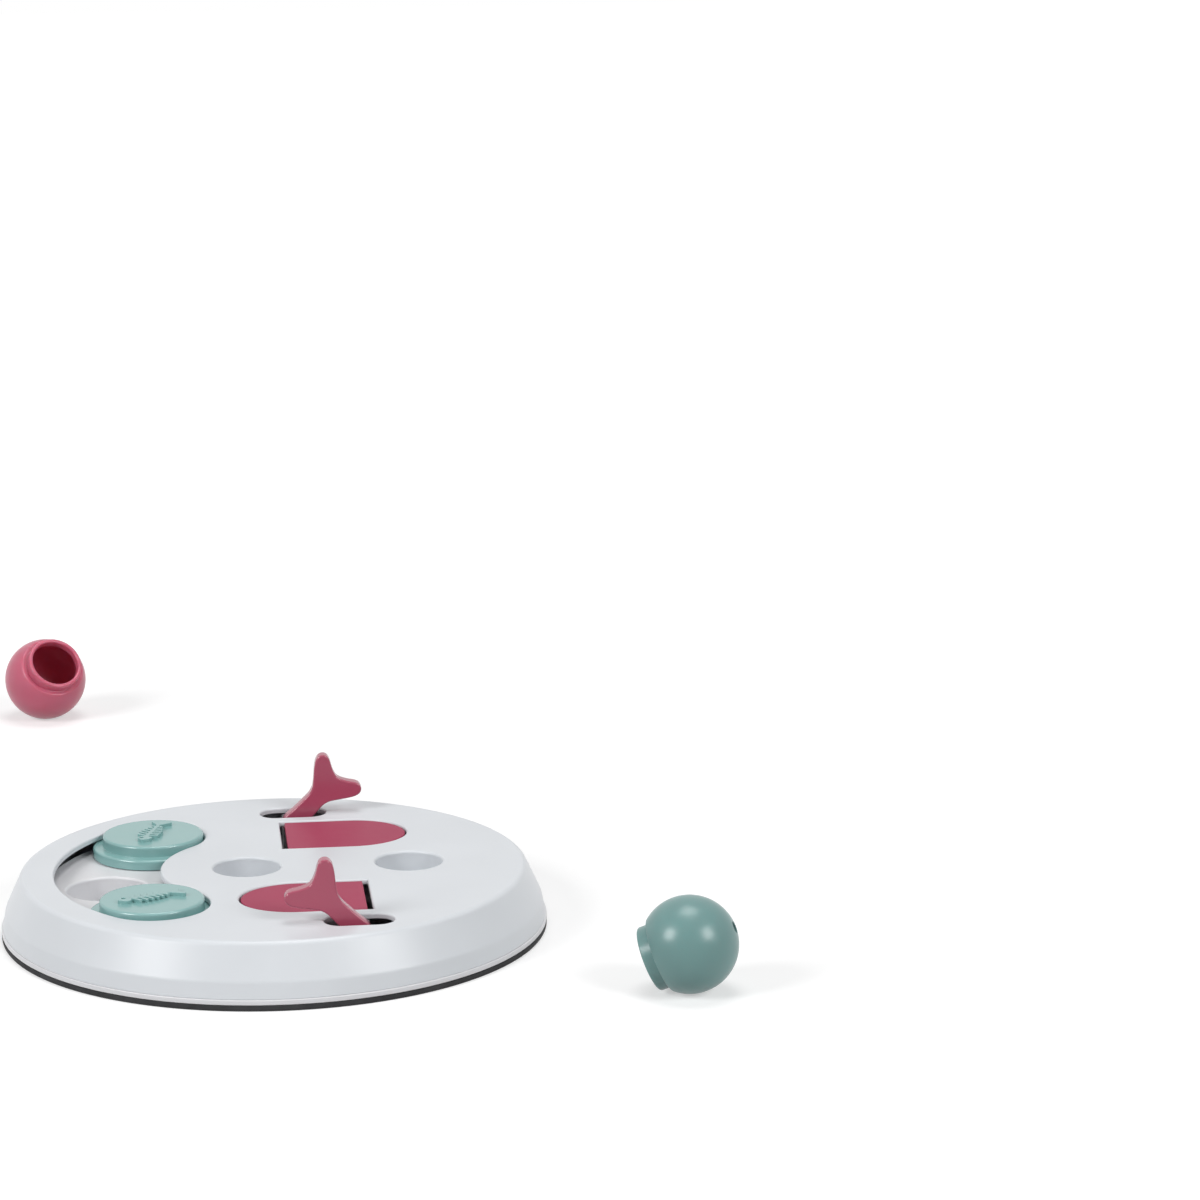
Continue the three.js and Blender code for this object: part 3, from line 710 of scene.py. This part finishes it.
def settings(context):
    """The sizes and the colours that the panel shows."""
    return context.scene.board_sizes, context.scene.board_colours


class PUZZLE_OT_cover(bpy.types.Operator):
    """Model the dished cover with its slots, flap openings and round holes"""

    bl_idname = "puzzle.cover"
    bl_label = "Make Cover"

    def execute(self, context):
        sizes, colours = settings(context)
        low, top, radius = COVER_LOW.z, COVER_HIGH.z, COVER_HIGH.x - sizes.foot_step
        under = top - sizes.cover_wall
        crease = (COVER_HIGH.x - sizes.foot_draft, low + sizes.foot_height)
        rim = COVER_HIGH.x - sizes.rim_inset
        wall = sizes.cover_wall * SLOPE_WALL
        cover = turn("cover_shell", [
            (rim, top),
            crease,
            (radius, low),
            (radius - wall, low),
            (crease[0] - wall, crease[1]),
            (rim - wall, under),
        ], RIM_STEPS)
        round_edges(cover, ring_at(rim, top), sizes.rim_round, segments=5)
        round_edges(cover, ring_at(*crease), CREASE_ROUND, segments=3)
        round_edges(cover, ring_at(radius, low), COVER_FOOT_ROUND, segments=3)
        self.add_cups_and_bosses(cover, sizes, top)
        low_cut, high_cut = under - SPARE, top + SPARE
        cut(cover, prism("slot_cutter", bent_slot(sizes.slot_width / 2), low_cut, high_cut))
        heel = FLAP_HIGH.x - HINGE.x + HEEL_GAP
        flap_cutter = prism("flap_cutter", flap_outline(sizes, heel), low_cut, high_cut)
        for_both_pairs(cover, flap_cutter, "DIFFERENCE")
        for_both_pairs(cover, self.lever_cutter(low_cut, high_cut), "DIFFERENCE")
        round_edges(cover, sharp_at(Z_AXIS, top), sizes.lip_round, segments=4)
        material = moulded_plastic("cover_plastic", colours.cover, gloss=0.32, sheen=0.35)
        dress(cover, material, "board", "top_cover")
        return {"FINISHED"}

    def add_cups_and_bosses(self, cover, sizes, top):
        """Hangs the round holes' cups and the screw bosses under the cover, and hollows them."""
        head, bottom = top - sizes.cover_wall / 2, top - sizes.hole_depth
        outer = sizes.hole_radius + sizes.hole_wall
        for hole in HOLES:
            add(cover, upright_rod("hole_cup", outer, hole, bottom - sizes.hole_wall, head, CUP_STEPS))
        bore_low, bore_high = BOSS_FOOT - SPARE, SCREW_HIGH + BORE_SPARE
        for screw in SCREWS.values():
            add(cover, upright_rod("screw_boss", BOSS_RADIUS, screw, BOSS_FOOT, head, BORE_STEPS))
            cut(cover, upright_rod("screw_bore", BOSS_BORE, screw, bore_low, bore_high, HOLE_STEPS))
        for hole in HOLES:
            cut(cover, cup_cutter("hole_cutter", sizes, sizes.hole_radius, bottom, top, hole))

    def lever_cutter(self, low, high):
        """A round-ended slot in which the front lever swings."""
        half, reach = LEVER_SLOT_HALF, LEVER_SLOT_REACH
        y = middle(LEVER_LOW, LEVER_HIGH).y
        corner = LEVER_SLOT_CORNER * half
        sides = ((-1, -1), (1, -1), (1, 1), (-1, 1))
        outline = rounded([(HINGE.x + i * reach, y + j * half, corner) for i, j in sides])
        return prism("lever_cutter", outline, low, high)


class PUZZLE_OT_tray(bpy.types.Operator):
    """Model the tray, the slider deck on its cups and the basins under the flaps"""

    bl_idname = "puzzle.tray"
    bl_label = "Make Tray"

    def execute(self, context):
        sizes, colours = settings(context)
        material = moulded_plastic("tray_plastic", colours.tray, gloss=0.4)
        dress(self.tray(sizes), material, "board", "base_tray")
        dress(self.deck(sizes), material, "board", "slider_deck")
        front = self.basin(sizes)
        back = turned_copy(front, "basin_back_bowl")
        dress(front, material, "board", "basin_front")
        dress(back, material, "board", "basin_back")
        return {"FINISHED"}

    def tray(self, sizes):
        """The floor with its rim band, the saddles for the pins and the screw pockets."""
        low, band = TRAY_LOW.z, COVER_HIGH.x
        floor = low + sizes.tray_wall
        step = band - sizes.ring_width - REST_GAP
        band_low, band_top = RING_HIGH.z + REST_GAP / 2, COVER_LOW.z - HAIR
        upstand, upstand_top = band - UPSTAND_INSET, band_top + UPSTAND_HEIGHT
        tray = turn("tray_floor", [
            (step, low),
            (step, band_low),
            (band, band_low),
            (band, band_top),
            (upstand, band_top),
            (upstand, upstand_top),
            (upstand - UPSTAND_WALL, upstand_top),
            (upstand - UPSTAND_WALL, band_top),
            (step - sizes.tray_wall, band_top),
            (step - sizes.tray_wall, floor),
        ], RIM_STEPS)
        for height in (band_low, band_top):
            round_edges(tray, ring_at(band, height), BAND_ROUND, segments=3)
        round_edges(tray, ring_at(step, low), TRAY_FOOT_ROUND, segments=3)
        between = FLAP_LOW.y - sizes.flap_gap - SADDLE_SIDE
        for y in (PIN_HIGH.y - SADDLE_END, between, PIN_LOW.y + SADDLE_END):
            for_both_pairs(tray, self.saddle(sizes, y, low), "UNION")
        head_room, shank_room = sizes.screw_head + HEAD_PLAY, sizes.screw_shank + REST_GAP
        seat, roof = floor + POCKET_SEAT, floor + POCKET_ROOF
        for screw in SCREWS.values():
            add(tray, upright_rod("pocket", POCKET_RADIUS, screw, low + POST_ROOT, roof, PIN_STEPS))
            cut(tray, upright_rod("head_room", head_room, screw, low - SPARE, seat, PIN_STEPS))
            cut(tray, upright_rod("shank_room", shank_room, screw, low, roof + SPARE, HOLE_STEPS))
        return tray

    def saddle(self, sizes, y, low):
        """A post with a notch that a hinge pin lies in."""
        half, depth, top = SADDLE_HALF_WIDTH, SADDLE_HALF_DEPTH, HINGE.z + SADDLE_RISE
        notch = sizes.pin_radius + REST_GAP
        saddle = box(
            "saddle", (HINGE.x - half, y - depth, low + POST_ROOT), (HINGE.x + half, y + depth, top)
        )
        y0, y1 = y - depth - SPARE, y + depth + SPARE
        cut(saddle, hinge_rod("notch", notch, y0, y1, BORE_STEPS))
        cut(saddle, box("notch_mouth", (HINGE.x - notch, y0, HINGE.z), (HINGE.x + notch, y1, top + SPARE)))
        return saddle

    def deck(self, sizes):
        """The bent plate that the sliders run on, with its three cups."""
        top, foot = DECK_HIGH.z, DECK_LOW.z
        half = -DECK_LOW.x - SLOT_RADIUS
        deck = prism("deck_plate", bent_slot(half), top - sizes.tray_wall, top)
        round_edges(deck, sharp_at(Z_AXIS, top), DECK_ROUND, segments=3)
        outer = sizes.cup_radius + sizes.tray_wall
        for angle in (math.pi - SLOT_TURN, math.pi, math.pi + SLOT_TURN):
            cup = SLOT_RADIUS * Vector((math.cos(angle), math.sin(angle)))
            add(deck, upright_rod("cup", outer, cup, foot, top - HAIR, CUP_STEPS))
            cut(deck, cup_cutter("cup_cutter", sizes, sizes.cup_radius, foot + sizes.tray_wall, top, cup))
        return deck

    def basin(self, sizes):
        """The bowl under the front flap, short of its hinge barrel."""
        heel = -sizes.barrel_radius - BASIN_HEEL
        low, top = BASIN_LOW.z, BASIN_HIGH.z
        floor = low + sizes.basin_wall
        basin = prism("basin_front_bowl", flap_outline(sizes, heel, BASIN_INSET), low, top)
        hollow = flap_outline(sizes, heel, BASIN_INSET + sizes.basin_wall)
        inside = prism("basin_cutter", hollow, floor, top + SPARE)
        round_edges(inside, sharp_at(Z_AXIS, floor), BASIN_FLOOR_ROUND, segments=4)
        cut(basin, inside)
        round_edges(basin, sharp_at(Z_AXIS, top), BASIN_LIP_ROUND, segments=2)
        return basin


class PUZZLE_OT_ring(bpy.types.Operator):
    """Model the rubber ring that the board stands on"""

    bl_idname = "puzzle.ring"
    bl_label = "Make Ring"

    def execute(self, context):
        sizes, colours = settings(context)
        outer, top = COVER_HIGH.x, RING_HIGH.z
        inner = outer - sizes.ring_width
        corners = [(inner, 0), (outer, 0), (outer, top), (inner, top), (inner, 0)]
        ring = turn("foot_ring", corners, RIM_STEPS)
        round_edges(ring, ring_at(outer, 0), RING_FOOT_ROUND, segments=4)
        round_edges(ring, ring_at(outer, top), RING_TOP_ROUND, segments=3)
        round_edges(ring, ring_at(inner, 0), RING_INNER_ROUND, segments=2)
        dress(ring, ring_rubber(colours.ring), "board", "rubber_ring")
        return {"FINISHED"}


class PUZZLE_OT_sliders(bpy.types.Operator):
    """Model the two round sliders with their raised figures"""

    bl_idname = "puzzle.sliders"
    bl_label = "Make Sliders"

    def execute(self, context):
        sizes, colours = settings(context)
        front = self.slider(sizes)
        back = copy_of(front, "slider_back_knob")
        turn_by = Matrix.Rotation(FISH_TURN["back"] - FISH_TURN["front"], 3, "Z")
        back.rotation_euler = turn_by.to_euler()
        back.location = SLIDERS["back"] - turn_by @ SLIDERS["front"]
        back.location.z = 0
        settle()
        material = moulded_plastic("slider_plastic", colours.slider, gloss=0.24, sheen=0.8)
        dress(front, material, "slider_front", "slider_front")
        dress(back, material, "slider_back", "slider_back")
        return {"FINISHED"}

    def slider(self, sizes):
        """A hollow knob on a flange, at the front slider's place."""
        centre = SLIDERS["front"].xy
        low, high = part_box("slider_front")
        foot, top = low.z, high.z - sizes.fish_rise
        ledge = foot + sizes.flange_height
        knob = sizes.slot_width / 2 - sizes.flap_gap
        flange = sizes.slot_width / 2 + sizes.flange_lap
        bore = knob - sizes.knob_wall
        slider = turn("slider_front_knob", [
            (bore, top - sizes.knob_wall),
            (bore, foot),
            (flange, foot),
            (flange, ledge),
            (knob, ledge),
            (knob, top),
        ], KNOB_STEPS, centre)
        round_edges(slider, ring_at(knob, top, centre), sizes.knob_round, segments=5)
        round_edges(slider, ring_at(flange, ledge, centre), sizes.knob_round, segments=4)
        round_edges(slider, ring_at(knob, ledge, centre), NECK_ROUND, segments=2)
        round_edges(slider, ring_at(flange, foot, centre), FLANGE_FOOT_ROUND, segments=2)
        fish = self.fish(sizes, centre, top)
        take(slider)
        fish.select_set(True)
        bpy.ops.object.join()
        return slider

    def fish(self, sizes, centre, top):
        """The raised figure: a head, a backbone with slanted ribs and a forked tail, melted together."""
        scale = sizes.fish_length / FISH_DRAWN
        lay = Matrix.Rotation(FISH_TURN["front"], 2)
        outlines = [rounded(corners) for corners in (FISH_HEAD, FISH_SPINE, FISH_TAIL)]
        for at, half in FISH_RIBS:
            lean = RIB_LEAN * half
            for side in (1, -1):
                rib = [
                    (at, 0, RIB_ROOT_ROUND),
                    (at + RIB_WIDTH, 0, RIB_ROOT_ROUND),
                    (at + lean + RIB_WIDTH, side * half, RIB_TIP_ROUND),
                    (at + lean, side * half, RIB_TIP_ROUND),
                ]
                outlines.append(rounded(rib[::side]))
        parts = []
        for outline in outlines:
            points = [centre + lay @ p * scale for p in outline]
            parts.append(prism("fish_part", points, top - FISH_ROOT, top + sizes.fish_rise))
        eye = centre + lay @ Vector(FISH_EYE) * scale
        cut(parts[0], upright_rod("eye", EYE_RADIUS * scale, eye, top, top + SPARE, HOLE_STEPS))
        take(parts[0])
        for part in parts[1:]:
            part.select_set(True)
        bpy.ops.object.join()
        fish = named("fish")
        modify(fish, "REMESH", mode="VOXEL", voxel_size=FISH_VOXEL)
        modify(fish, "SMOOTH", factor=0.5, iterations=2)
        return fish


class PUZZLE_OT_flaps(bpy.types.Operator):
    """Model the two flaps with their hinge barrels"""

    bl_idname = "puzzle.flaps"
    bl_label = "Make Flaps"

    def execute(self, context):
        sizes, colours = settings(context)
        top = FLAP_HIGH.z
        under = top - sizes.flap_wall
        heel = FLAP_HIGH.x - HINGE.x + sizes.flap_gap
        flap = prism("flap_front_plate", flap_outline(sizes, heel, sizes.flap_gap), under, top)
        round_edges(flap, sharp_at(Z_AXIS, top), FLAP_TOP_ROUND, segments=4)
        round_edges(flap, sharp_at(Z_AXIS, under), FLAP_UNDER_ROUND, segments=2)
        y0, y1 = FLAP_LOW.y + BARREL_INSET, FLAP_HIGH.y - BARREL_INSET
        add(flap, hinge_rod("barrel", sizes.barrel_radius, y0, y1, BARREL_STEPS))
        bore = sizes.pin_radius + REST_GAP
        cut(flap, hinge_rod("barrel_bore", bore, y0 - SPARE, y1 + SPARE, BORE_STEPS))
        back = turned_copy(flap, "flap_back_plate")
        material = moulded_plastic("flap_plastic", colours.flap, gloss=0.4, sheen=0.03)
        dress(flap, material, "flap_front", "flap_front")
        dress(back, material, "flap_back", "flap_back")
        return {"FINISHED"}


class PUZZLE_OT_levers(bpy.types.Operator):
    """Model the two fish-tail levers"""

    bl_idname = "puzzle.levers"
    bl_label = "Make Levers"

    def execute(self, context):
        sizes, colours = settings(context)
        y0, y1 = LEVER_LOW.y, LEVER_HIGH.y
        edge = [*LEVER_EDGE, *((u, -w) for u, w in LEVER_EDGE[-2:0:-1]), LEVER_EDGE[0]]
        lean, across = math.sin(LEVER_LEAN), math.cos(LEVER_LEAN)
        points = []
        for u, w in smooth_line(edge, LEVER_STEPS)[:-1]:
            x, z = -lean * u - across * w, across * u - lean * w
            points.append((HINGE.x + x * MM, y0, HINGE.z + z * MM))
        lever = pull("lever_front_blade", points, (0, y1 - y0, 0))
        for y in (y0, y1):
            round_edges(lever, sharp_at(Y_AXIS, y), sizes.lever_round, segments=5)
        bore = sizes.pin_radius + REST_GAP
        cut(lever, hinge_rod("lever_bore", bore, y0 - SPARE, y1 + SPARE, BORE_STEPS))
        back = turned_copy(lever, "lever_back_blade")
        material = moulded_plastic("lever_plastic", colours.flap, gloss=0.17)
        dress(lever, material, "flap_front", "lever_front")
        dress(back, material, "flap_back", "lever_back")
        return {"FINISHED"}


class PUZZLE_OT_fittings(bpy.types.Operator):
    """Model the hinge pins and the screws under the tray"""

    bl_idname = "puzzle.fittings"
    bl_label = "Make Pins and Screws"

    def execute(self, context):
        sizes, colours = settings(context)
        material = brushed_steel(colours.steel)
        pin = self.pin(sizes)
        back = turned_copy(pin, "pin_back")
        dress(pin, material, "flap_front", "hinge_pin_front")
        dress(back, material, "flap_back", "hinge_pin_back")
        first, *others = SCREWS
        screws = [self.screw(sizes, SCREWS[first])]
        for name in others:
            copy = copy_of(screws[0], name + "_steel")
            copy.location.xy = SCREWS[name] - SCREWS[first]
            settle()
            screws.append(copy)
        for screw, name in zip(screws, SCREWS):
            dress(screw, material, "board", name)
        return {"FINISHED"}

    def pin(self, sizes):
        """The front hinge pin, with a flat along it."""
        pin = hinge_rod("pin_front", sizes.pin_radius, PIN_LOW.y, PIN_HIGH.y, PIN_STEPS)
        for y in (PIN_LOW.y, PIN_HIGH.y):
            round_edges(pin, sharp_at(Y_AXIS, y), PIN_END_ROUND, segments=2)
        edit(pin)
        flat = (HINGE.x, 0, HINGE.z + sizes.pin_radius - sizes.pin_flat)
        bpy.ops.mesh.bisect(
            plane_co=flat, plane_no=(0, 0, 1), use_fill=True, clear_outer=True, threshold=WELD
        )
        return pin

    def screw(self, sizes, centre):
        """A pan-head screw with a straight slot, head down."""
        low, high, head = SCREW_LOW, SCREW_HIGH, sizes.screw_head
        screw = turn("screw_1_steel", [
            (head, low),
            (head, low + SCREW_HEAD_HEIGHT),
            (sizes.screw_shank, low + SCREW_HEAD_HEIGHT),
            (sizes.screw_shank, high - SCREW_POINT),
            (SCREW_TIP, high),
        ], PIN_STEPS, centre)
        round_edges(screw, ring_at(head, low, centre), SCREW_HEAD_ROUND, segments=4)
        half, reach = SCREW_SLOT / 2, head + SPARE
        slot_low = (centre.x - reach, centre.y - half, low - SPARE)
        slot_high = (centre.x + reach, centre.y + half, low + SCREW_SLOT)
        cut(screw, box("screw_slot", slot_low, slot_high))
        return screw


class PUZZLE_OT_balls(bpy.types.Operator):
    """Model the two hollow balls with their collars"""

    bl_idname = "puzzle.balls"
    bl_label = "Make Balls"

    def execute(self, context):
        sizes, colours = settings(context)
        teal = self.ball(sizes)
        pink = copy_of(teal, "ball_pink_shell")
        for ball, tone, base in ((teal, "teal", colours.teal_ball), (pink, "pink", colours.pink_ball)):
            take(ball)
            ball.rotation_euler = Vector(BALL_COLLARS[tone]).to_track_quat("Z", "Y").to_euler()
            ball.location = middle(*OPENINGS[f"ball_{tone}_inside"])
            settle()
            material = moulded_plastic(f"{tone}_ball_plastic", base, gloss=0.3, glow=BALL_GLOW[tone])
            dress(ball, material, f"ball_{tone}", f"ball_{tone}")
        return {"FINISHED"}

    def ball(self, sizes):
        """A hollow ball about the origin, with its collar up and a vent hole below."""
        outer, inner = sizes.ball_radius, sizes.ball_radius - sizes.ball_wall
        collar, mouth = sizes.collar_radius, sizes.collar_radius - sizes.collar_wall
        vent, end = sizes.vent_radius, sizes.collar_height
        ledge = collar + sizes.ledge_width
        ledge_z = math.sqrt(outer**2 - ledge**2)
        outside = arc((0, 0), outer, -math.acos(vent / outer), math.acos(ledge / outer), BALL_OUTER_STEPS)
        inside = arc((0, 0), inner, math.acos(mouth / inner), -math.acos(vent / inner), BALL_INNER_STEPS)
        profile = [
            *outside,
            (ledge, ledge_z),
            (collar, ledge_z),
            (collar, end),
            (mouth, end),
            *inside,
            (vent, -math.sqrt(inner**2 - vent**2)),
            outside[0],
        ]
        ball = turn("ball_teal_shell", profile, KNOB_STEPS)
        for radius in (collar, mouth):
            round_edges(ball, ring_at(radius, end), COLLAR_ROUND, segments=4)
        round_edges(ball, ring_at(ledge, ledge_z), LEDGE_ROUND, segments=4)
        round_edges(ball, ring_at(collar, ledge_z), LEDGE_CORNER, segments=2)
        return ball


class PUZZLE_OT_stage(bpy.types.Operator):
    """Set up the pale floor, the soft studio light and the camera"""

    bl_idname = "puzzle.stage"
    bl_label = "Make Stage"

    def execute(self, context):
        to_object_mode()
        bpy.ops.mesh.primitive_plane_add(size=FLOOR_SIZE)
        floor = named("studio_floor")
        floor.data.materials.append(floor_paint(context.scene.board_colours.floor))
        self.world(context.scene)
        for name, (place, power) in LAMPS.items():
            self.lamp(name, place, power)
        self.camera(context.scene)
        context.scene.view_settings.view_transform = "Standard"
        return {"FINISHED"}

    def lamp(self, name, place, power):
        """A square soft box that faces the board."""
        bpy.ops.object.light_add(type="AREA", location=place)
        lamp = named(name)
        lamp.rotation_euler = Vector(place).to_track_quat("Z", "Y").to_euler()
        lamp.data.size = LAMP_SIZE
        lamp.data.energy = power

    def world(self, scene):
        """Even light from all round, which the camera and mirrors see as white."""
        world = bpy.data.worlds.new("studio_world")
        world.use_nodes = True
        scene.world = world
        tree = world.node_tree
        background = tree.nodes["Background"]
        set_inputs(background, {"Color": (1, 1, 1, 1)})
        strength = spread(tree, seen_rays(tree), WORLD_LIGHT, 1, (0, 1))
        tree.links.new(strength, background.inputs["Strength"])

    def camera(self, scene):
        """The photograph's camera."""
        turn_round = Matrix.Rotation(CAMERA_YAW, 3, "Z")
        tilt = Matrix.Rotation(CAMERA_TILT, 3, "X")
        roll = Matrix.Rotation(CAMERA_ROLL, 3, "Z")
        bpy.ops.object.camera_add(
            location=CAMERA_PLACE, rotation=(turn_round @ tilt @ roll).to_euler()
        )
        camera = named("photo_camera")
        camera.data.lens = CAMERA_LENS
        camera.data.sensor_width = CAMERA_SENSOR
        scene.camera = camera


OPERATORS = (
    PUZZLE_OT_cover,
    PUZZLE_OT_tray,
    PUZZLE_OT_ring,
    PUZZLE_OT_sliders,
    PUZZLE_OT_flaps,
    PUZZLE_OT_levers,
    PUZZLE_OT_fittings,
    PUZZLE_OT_balls,
    PUZZLE_OT_stage,
)


class PUZZLE_PT_board(bpy.types.Panel):
    """The board's pieces, sizes and colours"""

    bl_idname = "PUZZLE_PT_board"
    bl_label = "Puzzle Board"
    bl_space_type = "VIEW_3D"
    bl_region_type = "UI"
    bl_category = "Puzzle Board"

    def draw(self, context):
        for operator in OPERATORS:
            self.layout.operator(operator.bl_idname)
        for group in settings(context):
            column = self.layout.column()
            for name in group.__annotations__:
                column.prop(group, name)


CLASSES = (BoardSizes, BoardColours, *OPERATORS, PUZZLE_PT_board)


def register():
    for cls in CLASSES:
        bpy.utils.register_class(cls)
    bpy.types.Scene.board_sizes = PointerProperty(type=BoardSizes)
    bpy.types.Scene.board_colours = PointerProperty(type=BoardColours)


def unregister():
    del bpy.types.Scene.board_colours
    del bpy.types.Scene.board_sizes
    for cls in reversed(CLASSES):
        bpy.utils.unregister_class(cls)


def main():
    """Builds every piece and the stage."""
    register()
    bpy.ops.puzzle.cover()
    bpy.ops.puzzle.tray()
    bpy.ops.puzzle.ring()
    bpy.ops.puzzle.sliders()
    bpy.ops.puzzle.flaps()
    bpy.ops.puzzle.levers()
    bpy.ops.puzzle.fittings()
    bpy.ops.puzzle.balls()
    bpy.ops.puzzle.stage()


if __name__ == "__main__":
    main()
